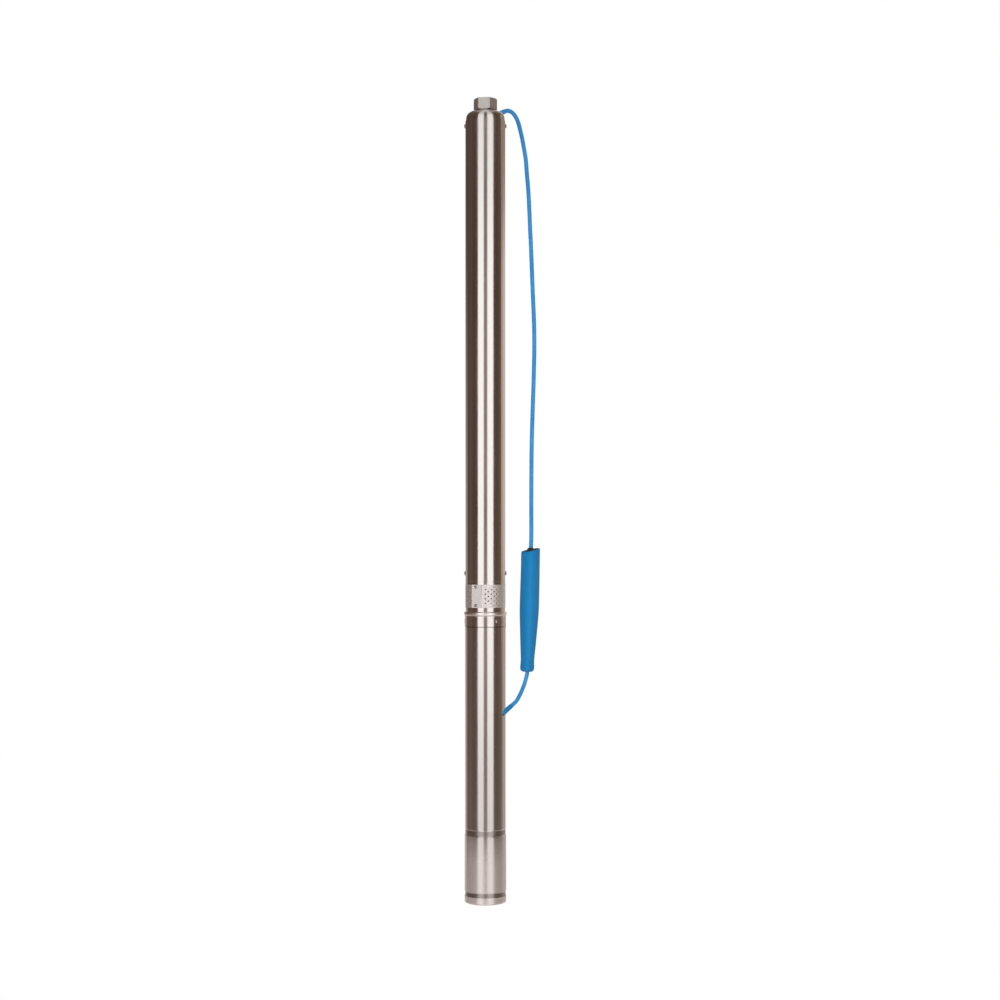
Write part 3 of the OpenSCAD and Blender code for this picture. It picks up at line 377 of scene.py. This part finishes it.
def turned_housing(name, color):
    """Satin steel whose turning gets finer upwards, with the two grooves left smooth and darkened with
    painted shade.
    """
    cover = (0.3, 1, 0.68)
    # Both grooves keep little tone: painted shade in the grooves.
    lower_groove_shade = (0.3, 0.1, 1)
    upper_groove_shade = (0.28, 0.1, 1)
    return levelled_steel(name, color, 0.55, [
        (BASE_Z / MM, *cover), (COVER_TOP - LEVEL_EDGE, *cover),
        (COVER_TOP, *lower_groove_shade), (LOWER_GROOVE_TOP - LEVEL_EDGE, *lower_groove_shade),
        (LOWER_GROOVE_TOP, 0.31, 1, 0.73),
        (COARSE_TURNING_TOP, 0.29, 1, 0.73), (FINE_TURNING_LOW, 0.2, 0.88, 0.8),
        (HOUSING_TOP - LEVEL_EDGE, 0.16, 0.8, 0.88),
        (HOUSING_TOP, *upper_groove_shade), (UPPER_GROOVE_TOP, *upper_groove_shade),
    ], 0.0007)


def machined_casting(name, color):
    """A casting: satin flange and hexagon, with turned and polished bands between them, and painted shade in
    the joint groove over the motor tube and in the neck under the hexagon.
    """
    # The joint groove over the motor tube is darkened: painted shade in the groove.
    shaded_joint_groove = (0.17, 0, 1)
    polished = (0.17, 0.57, 1)
    flange = (0.36, 1, 1)
    shoulder = (0.3, 0.513, 0.9)
    # The neck under the hexagon is darkened: painted shade under the hexagon.
    shaded_neck = (0.35, 0, 1)
    hexagon = (0.38, 0.342, 0.85)
    return levelled_steel(name, color, 0.275, [
        (BELL_LOW - LEVEL_EDGE, *shaded_joint_groove), (BELL_LOW + JOINT_H, *shaded_joint_groove),
        (BELL_LOW + JOINT_H + LEVEL_EDGE, *polished), (FLANGE_LOW - LEVEL_EDGE, *polished),
        (FLANGE_LOW, *flange), (FLANGE_TOP, *flange),
        (FLANGE_TOP + LEVEL_EDGE, *polished), (SHOULDER_TURN, *polished),
        (SHOULDER_TOP, *shoulder), (HEX_FOOT - LEVEL_EDGE, *shoulder),
        (HEX_FOOT, *shaded_neck), (HEX_LOW - LEVEL_EDGE, *shaded_neck),
        (HEX_LOW, *hexagon), (0, *hexagon),
    ], 0.0005)


def cable_sheath(name, color, light, roughness):
    """Cable rubber: a matt sheath with fine lengthwise drag lines and pale handling marks."""
    look = Look(name, color, 0.0, roughness)
    look.shader.inputs["Specular IOR Level"].default_value = 0.18
    drag = look.noise(*DRAG_LINES)
    marks = look.noise(*HANDLING_MARKS)
    look.vary_color(look.spread(marks, 0, 1, 0.35, 0.8), color, light)
    look.vary_roughness(marks, roughness * 0.85, roughness * 1.2)
    look.bump(drag, 0.35, 0.0002)
    return look.material


LOOKS = {
    "polished_steel": steel("polished_steel", (0.66, 0.635, 0.615), 0.17, ALONG_AXIS, 700, 0.00002, 0.93),
    "satin_steel": turned_housing("satin_steel", (0.70, 0.635, 0.61)),
    "cast_steel": machined_casting("cast_steel", (0.93, 0.879, 0.843)),
    "sheet_steel": steel("sheet_steel", (0.93, 0.91, 0.90), 0.56, ALONG_AXIS, 900, 0.00003, 0.92),
    "screw_steel": steel("screw_steel", (0.54, 0.475, 0.465), 0.24, EVEN, 800, 0.00004, 0.8),
    "shaft_steel": steel("shaft_steel", (0.62, 0.61, 0.60), 0.2, AROUND_AXIS, 1400, 0.00004, 0.88),
    "bearing_steel": steel("bearing_steel", (0.74, 0.74, 0.75), 0.12, AROUND_AXIS, 1600, 0.00002, 0.94),
    "lamination": steel("lamination", (0.34, 0.345, 0.36), 0.45, AROUND_AXIS, 2000, 0.00012, 0.8),
    "copper": steel("copper", (0.74, 0.36, 0.2), 0.34, ALONG_AXIS, 1200, 0.0002, 0.7),
    "cast_aluminium": steel("cast_aluminium", (0.72, 0.72, 0.74), 0.42, EVEN, 500, 0.0001, 0.85),
    "brass": steel("brass", (0.74, 0.58, 0.28), 0.26, AROUND_AXIS, 1100, 0.00004, 0.85),
    "stage_plastic": moulded("stage_plastic", (0.035, 0.038, 0.042), 0.45, 900, 0.00006),
    "impeller_plastic": moulded("impeller_plastic", (0.62, 0.52, 0.33), 0.42, 700, 0.00005, 0.85),
    "black_rubber": moulded("black_rubber", (0.018, 0.018, 0.019), 0.6, 1200, 0.00008),
    "ceramic": moulded("ceramic", (0.82, 0.8, 0.75), 0.22, 1500, 0.00002, 0.94),
    "carbon": moulded("carbon", (0.03, 0.03, 0.032), 0.35, 1500, 0.00003),
    "cable_blue": cable_sheath("cable_blue", (0.024, 0.235, 0.58), (0.055, 0.30, 0.65), 0.5),
    "splice_blue": cable_sheath("splice_blue", (0.005, 0.187, 0.445), (0.012, 0.21, 0.47), 0.5),
}


def dress_nodes():
    """Gives every CAD node the finish of its material slot."""
    for part in frame["record"]["subparts"]:
        mesh = nodes[part["node"]].data
        mesh.materials.clear()
        mesh.materials.append(LOOKS[part["material_slot"]])


dress_nodes()


def finish_piece(piece, slot, body="root"):
    """A new piece takes a slot's finish and rides on a body."""
    piece.data.materials.append(LOOKS[slot])
    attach(piece, body)
    return piece


# Outlet thread

def make_outlet_thread():
    """The pipe thread of the mouth, as a ridge that winds down the bore."""
    turns = (OUTLET_DEPTH - 2 * THREAD_PITCH) / THREAD_PITCH
    steps = int(turns * THREAD_STEPS)
    root = OUTLET_BORE_R + THREAD_SINK
    foot = THREAD_PITCH * THREAD_FOOT_SHARE
    flat = THREAD_PITCH * THREAD_CREST_SHARE
    rings = []
    for i in range(steps + 1):
        angle = 2 * math.pi * i / THREAD_STEPS
        level = -THREAD_PITCH * (1 + i / THREAD_STEPS)
        crest = THREAD_H * min(1, i / THREAD_STEPS, (steps - i) / THREAD_STEPS) + THREAD_LEAST_H
        out = Vector((math.cos(angle), math.sin(angle), 0))
        profile = [(root, foot), (root - crest, flat), (root - crest, -flat), (root, -foot)]
        rings.append([(r * out + Vector((0, 0, level + lift))) * MM for r, lift in profile])
    thread = loft("outlet_thread", rings, smooth=False)
    finish_piece(thread, "cast_steel")


make_outlet_thread()


# Valve spring

def make_valve_spring():
    """The spring of the check valve, a coil of round wire that rides on the valve."""
    low, high = (corner.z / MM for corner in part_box("valve_spring"))
    rise = high - low - 2 * SPRING_WIRE_R
    steps = SPRING_TURNS * SPRING_STEPS
    up = Vector((0, 0, 1))
    rings = []
    for i in range(steps + 1):
        angle = 2 * math.pi * i / SPRING_STEPS
        out = Vector((math.cos(angle), math.sin(angle), 0))
        centre = SPRING_COIL_R * out + (low + SPRING_WIRE_R + rise * i / steps) * up
        ring = []
        for k in range(SPRING_SIDES):
            turn = 2 * math.pi * k / SPRING_SIDES
            ring.append((centre + SPRING_WIRE_R * (math.cos(turn) * out + math.sin(turn) * up)) * MM)
        rings.append(ring)
    spring = finish_piece(loft("valve_spring_wire", rings), "shaft_steel", "valve")
    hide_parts("valve_spring")
    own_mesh(spring)


make_valve_spring()


# Cables

def cable_curve(name, points, diameter):
    """A round cable as one smooth spline through its route."""
    data = bpy.data.curves.new(name, "CURVE")
    data.dimensions = "3D"
    data.resolution_u = 8
    data.bevel_depth = diameter / 2
    data.bevel_resolution = 6
    data.use_fill_caps = True
    spline = data.splines.new("BEZIER")
    spline.bezier_points.add(len(points) - 1)
    for knot, point in zip(spline.bezier_points, points):
        knot.co = point
        knot.handle_left_type = "AUTO"
        knot.handle_right_type = "AUTO"
    return add_object(name, data)


def make_splice():
    """The shrink tube over the cable joint: three flattened sides, a bead at its foot and a slanted mouth,
    whose rim and inside take black rubber as painted shade.
    """
    # Shares of the length, the radius and the mouth's slant, from the foot to the rim and into the mouth
    outside = [
        (0.0, 0.36, 0), (0.004, 0.56, 0), (0.012, 0.68, 0), (0.02, 0.73, 0), (0.03, 0.75, 0),
        (0.042, 0.752, 0), (0.055, 0.742, 0), (0.07, 0.728, 0), (0.085, 0.718, 0), (0.1, 0.717, 0),
        (0.12, 0.733, 0), (0.16, 0.77, 0), (0.2, 0.805, 0), (0.26, 0.857, 0), (0.33, 0.91, 0),
        (0.39, 0.954, 0), (0.43, 0.987, 0), (0.455, 1.004, 0), (0.48, 1.016, 0), (0.52, 1.027, 0),
        (0.56, 1.03, 0), (0.7, 1.02, 0), (0.86, 1.003, 0), (0.9, 1, 0.3), (0.93, 1, 0.6), (0.96, 1, 0.85),
        (0.983, 1, 1), (0.99, 0.985, 1), (0.994, 0.95, 1), (0.995, 0.91, 1),
    ]
    mouth = [(0.99, 0.87, 1), (0.982, 0.84, 1), (0.975, 0.75, 1), (0.98, 0.5, 0.6), (1.0, 0.3, 0)]
    sides = 96
    flats = 3
    crease = 0.15
    turn = 0.05
    slant = 0.22
    dip = 0.16
    bend = 0.8
    offset = 0.3
    heading, side, depth = axis_frame(SPLICE_AXIS)
    rings = []
    for along, share, lean in outside + mouth:
        bow = bend * math.sin(math.pi * along) - offset
        centre = SPLICE_FOOT.lerp(SPLICE_TOP, along) - bow * side
        ring = []
        for k in range(sides):
            angle = 2 * math.pi * k / sides
            pinch = 1 - crease * abs(math.sin(flats / 2 * (angle - math.pi / 2 - turn)))
            r = SPLICE_R * share * pinch
            drop = lean * (slant * math.cos(angle) + dip * (1 + math.sin(angle)))
            across = math.cos(angle) * side + math.sin(angle) * depth - drop * heading
            ring.append((centre + r * across) * MM)
        rings.append(ring)
    sleeve = finish_piece(loft("splice_sleeve", rings), "splice_blue")
    # The rim and the inside of the mouth take black rubber: painted shade in the opening.
    sleeve.data.materials.append(LOOKS["black_rubber"])
    shaded_mouth_faces = range((len(outside) - 1) * sides, (len(rings) - 1) * sides)
    for face in sleeve.data.polygons:
        face.material_index = int(face.index in shaded_mouth_faces)
    return sleeve


def make_cables():
    """The drop cable and the motor lead, which meet inside the splice."""
    splice = make_splice()
    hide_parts("cable_splice")
    drop_points = metres(reversed(DROP_ROUTE))
    drop = finish_piece(cable_curve("drop_cable_sheath", drop_points, DROP_CABLE_D), "cable_blue")
    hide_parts("drop_cable")
    joint_points = [SPLICE_FOOT.lerp(SPLICE_TOP, i / LEAD_JOINT_STEPS) for i in range(1, LEAD_JOINT_STEPS)]
    lead_points = metres(LEAD_ROUTE + joint_points)
    lead = finish_piece(cable_curve("motor_lead_sheath", lead_points, LEAD_D), "cable_blue")
    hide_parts("motor_lead")
    # The motor gland takes the darker splice blue: painted shade at the foot of the lead.
    nodes["motor_cable_gland"].data.materials[0] = LOOKS["splice_blue"]
    for piece in (splice, drop, lead, nodes["motor_cable_gland"], nodes["head_cable_gland"]):
        piece.visible_glossy = False


make_cables()


# Studio

def bare_material(name):
    """A new material without nodes, and its tree."""
    material = bpy.data.materials.new(name)
    material.use_nodes = True
    material.node_tree.nodes.clear()
    return material, material.node_tree


def glow(name, stops):
    """Light given off by a card: colours at heights between the floor and the top of the studio."""
    material, tree = bare_material(name)
    coords = tree.nodes.new("ShaderNodeTexCoord")
    emission = tree.nodes.new("ShaderNodeEmission")
    tree.links.new(height_ramp(tree, coords, STUDIO_LOW, STUDIO_HIGH, stops), emission.inputs["Color"])
    output = tree.nodes.new("ShaderNodeOutputMaterial")
    tree.links.new(emission.outputs["Emission"], output.inputs["Surface"])
    return material


def sweep_card(name, start, end, profile, steps, material, lights_object):
    """A card that only mirrors show: radii and heights, swept between two azimuths from the front."""
    verts = []
    for i in range(steps + 1):
        azimuth = math.radians(start + (end - start) * i / steps)
        verts += [(r * math.sin(azimuth), -r * math.cos(azimuth), level) for r, level in profile]
    rows = len(profile)
    faces = []
    for i in range(steps):
        for k in range(rows - 1):
            faces.append((i * rows + k, (i + 1) * rows + k, (i + 1) * rows + k + 1, i * rows + k + 1))
    card = mesh_object(name, verts, faces)
    card.data.materials.append(material)
    card.visible_camera = False
    card.visible_shadow = False
    card.visible_diffuse = lights_object
    card.visible_transmission = False
    return card


def make_card(name, start, end, radius, material, lights_object=False):
    """A tall card that closes in overhead like a dome."""
    dome = [(1, STUDIO_LOW), (1, 1.0), (0.95, 1.9), (0.8, 2.8), (0.52, 3.6), (0.15, STUDIO_HIGH)]
    profile = [(radius * share, level) for share, level in dome]
    card = sweep_card(name, start, end, profile, 12, material, lights_object)
    card.location.z = -STUDIO_DROP


def make_low_card(name, start, end, inner, outer, color):
    """A flat card just over the floor between two radii, seen in the steel from above."""
    level = BASE_Z - FLOOR_DROP + 0.05
    material = glow(name, [(STUDIO_LOW, color), (STUDIO_HIGH, WHITE)])
    sweep_card(name, start, end, [(inner, level), (outer, level)], 24, material, False)


def make_studio():
    """Two tall strip lights in a dark surround, so that polished steel shows two bright stripes."""
    dark_tone = (0.115, 0.075, 0.055)
    gap_tone = (0.27, 0.215, 0.20)
    tan_tone = (0.46, 0.36, 0.285)
    pale_tone = (0.82, 0.74, 0.69)
    strip_tone = (1.45, 1.415, 1.39)
    near = 4.2
    far = 4.4
    strip = glow("strip_light", [
        (-2.6, scaled(strip_tone, 0.66)), (-1.87, scaled(strip_tone, 0.68)),
        (-1.39, scaled(strip_tone, 0.9)), (-1.14, scaled(strip_tone, 1.06)), (0.3, scaled(strip_tone, 1.08)),
        (1.1, scaled(strip_tone, 0.8)), (2.4, scaled(strip_tone, 0.6)),
    ])
    make_card("strip_left", -43, -9, near, strip, True)
    make_card("strip_right", 11, 46.5, near, strip, True)
    gap = glow("gap_card", [
        (-1.7, scaled(gap_tone, 0.85)), (-1.4, scaled(gap_tone, 1.15)), (0.3, scaled(gap_tone, 1.2)),
        (0.7, scaled(gap_tone, 0.8)), (1.0, scaled(gap_tone, 0.55)),
    ])
    make_card("gap_card", -10, 12, far, gap)
    dark_bands = [
        ("dark_left_inner", -80, -42, (0.85, 0.78, 0.8)), ("dark_left_middle", -104, -80, (1.1, 1.08, 1.0)),
        ("dark_left_outer", -124, -104, (0.92, 0.95, 1.25)), ("dark_right_inner", 46, 78, (0.9, 0.86, 0.84)),
        ("dark_right_outer", 78, 102, (1.15, 1.15, 1.1)),
    ]
    dark_stops = [(-2.2, (0.18, 0.14, 0.125)), (-1.2, (0.15, 0.105, 0.08)), (0.3, dark_tone),
                  (3.5, dark_tone), (3.9, (0.6, 0.52, 0.47))]
    for name, start, end, tint in dark_bands:
        stops = [(level, tuple(c * t for c, t in zip(color, tint))) for level, color in dark_stops]
        make_card(name, start, end, far, glow(name, stops))
    tan = glow("tan_card", [
        (-1.0, scaled(tan_tone, 0.85)), (-0.8, scaled(tan_tone, 1.3)), (0.35, scaled(tan_tone, 1.3)),
        (0.65, scaled(tan_tone, 0.7)), (1.0, scaled(tan_tone, 0.7)), (1.25, scaled(tan_tone, 2.2)),
        (1.9, scaled(tan_tone, 0.3)),
    ])
    pale = glow("pale_card", [
        (-1.0, scaled(pale_tone, 0.65)), (-0.8, scaled(pale_tone, 0.85)), (0.4, scaled(pale_tone, 0.9)),
        (0.75, scaled(tan_tone, 0.8)),
    ])
    dim = glow("dim_card", [(-2.2, scaled(tan_tone, 1.1)), (-0.6, scaled(tan_tone, 0.9)), (0.5, dark_tone)])
    edge = glow("edge_card", [
        (-2.2, scaled(pale_tone, 1.1)), (-0.8, scaled(pale_tone, 0.8)), (0.6, scaled(dark_tone, 1.5)),
    ])
    make_card("tan_left", -144, -124, far, dim)
    make_card("pale_left", -164, -144, far, edge)
    make_card("tan_right", 102, 118, far, tan)
    make_card("pale_right", 118, 160, far, pale)
    middle = 0.001
    foot = 0.8
    make_low_card("foot_front", -44, 46, middle, foot, (0.9, 0.82, 0.76))
    make_low_card("foot_back", 46, 316, middle, foot, (0.42, 0.35, 0.31))
    low_share = 0.9
    low_dark = (0.33, 0.27, 0.235)
    low_bands = [
        ("low_left", -43, -9, strip_tone), ("low_gap", -9, 11, gap_tone), ("low_right", 11, 46.5, strip_tone),
        ("low_dark_right", 46.5, 102, low_dark), ("low_tan_right", 102, 118, tan_tone),
        ("low_pale_right", 118, 160, pale_tone), ("low_behind", 160, 196, scaled(tan_tone, 0.6)),
        ("low_pale_left", 196, 216, pale_tone), ("low_tan_left", 216, 236, tan_tone),
        ("low_dark_left", 236, 317, low_dark),
    ]
    for name, start, end, color in low_bands:
        make_low_card(name, start, end, foot, far, scaled(color, low_share))


def make_key_light():
    """A soft key from the front left that shades the cables and isn't mirrored in the steel."""
    data = bpy.data.lights.new("key", "AREA")
    data.shape = "DISK"
    data.size = KEY_SIZE
    data.energy = KEY_WATTS
    key = add_object("key", data)
    key.location = KEY_PLACE
    key.rotation_euler = (KEY_AIM - KEY_PLACE).to_track_quat("-Z", "Y").to_euler()
    key.visible_glossy = False
    key.visible_camera = False


def seen_rays(tree):
    """1 for a ray that sees or mirrors a surface or looks through glass, and 0 for one that only lights."""
    paths = tree.nodes.new("ShaderNodeLightPath")
    seen = paths.outputs["Is Camera Ray"]
    for ray in ("Is Glossy Ray", "Is Transmission Ray"):
        either = tree.nodes.new("ShaderNodeMath")
        either.operation = "MAXIMUM"
        tree.links.new(seen, either.inputs[0])
        tree.links.new(paths.outputs[ray], either.inputs[1])
        seen = either.outputs["Value"]
    return seen


def blend_shaders(tree, share, first, second, output_kind):
    """Blends two shaders by a share into an output node."""
    mix = tree.nodes.new("ShaderNodeMixShader")
    output = tree.nodes.new(output_kind)
    tree.links.new(share, mix.inputs["Fac"])
    tree.links.new(first, mix.inputs[1])
    tree.links.new(second, mix.inputs[2])
    tree.links.new(mix.outputs["Shader"], output.inputs["Surface"])


def make_floor():
    """A pale floor well below the hanging pump, near white where it is seen or mirrored."""
    corners = [(-FLOOR_R, -FLOOR_R), (FLOOR_R, -FLOOR_R), (FLOOR_R, FLOOR_R), (-FLOOR_R, FLOOR_R)]
    verts = [(x, y, BASE_Z - FLOOR_DROP) for x, y in corners]
    floor = mesh_object("floor", verts, [(0, 1, 2, 3)], smooth=False)
    material, tree = bare_material("floor")
    share = tree.nodes.new("ShaderNodeMath")
    share.operation = "MULTIPLY"
    share.inputs[1].default_value = FLOOR_WHITE_SHARE
    tree.links.new(seen_rays(tree), share.inputs[0])
    matt = tree.nodes.new("ShaderNodeBsdfDiffuse")
    matt.inputs["Color"].default_value = (*FLOOR_MATT, 1)
    white = tree.nodes.new("ShaderNodeEmission")
    white.inputs["Color"].default_value = (*WHITE, 1)
    white.inputs["Strength"].default_value = FLOOR_WHITE
    blend_shaders(tree, share.outputs["Value"], matt.outputs["BSDF"], white.outputs["Emission"],
                  "ShaderNodeOutputMaterial")
    floor.data.materials.append(material)


def background(tree, color, strength):
    """Light from the world in one colour."""
    node = tree.nodes.new("ShaderNodeBackground")
    node.inputs["Color"].default_value = (*color, 1)
    node.inputs["Strength"].default_value = strength
    return node.outputs["Background"]


def make_world():
    """White where it is seen or mirrored, and a softer fill everywhere else."""
    world = bpy.data.worlds.new("studio")
    bpy.context.scene.world = world
    world.use_nodes = True
    tree = world.node_tree
    tree.nodes.clear()
    fill = background(tree, FILL_COLOR, FILL_STRENGTH)
    white = background(tree, WHITE, 1.0)
    blend_shaders(tree, seen_rays(tree), fill, white, "ShaderNodeOutputWorld")


make_studio()
make_key_light()
make_floor()
make_world()
bpy.context.scene.view_settings.view_transform = "Standard"
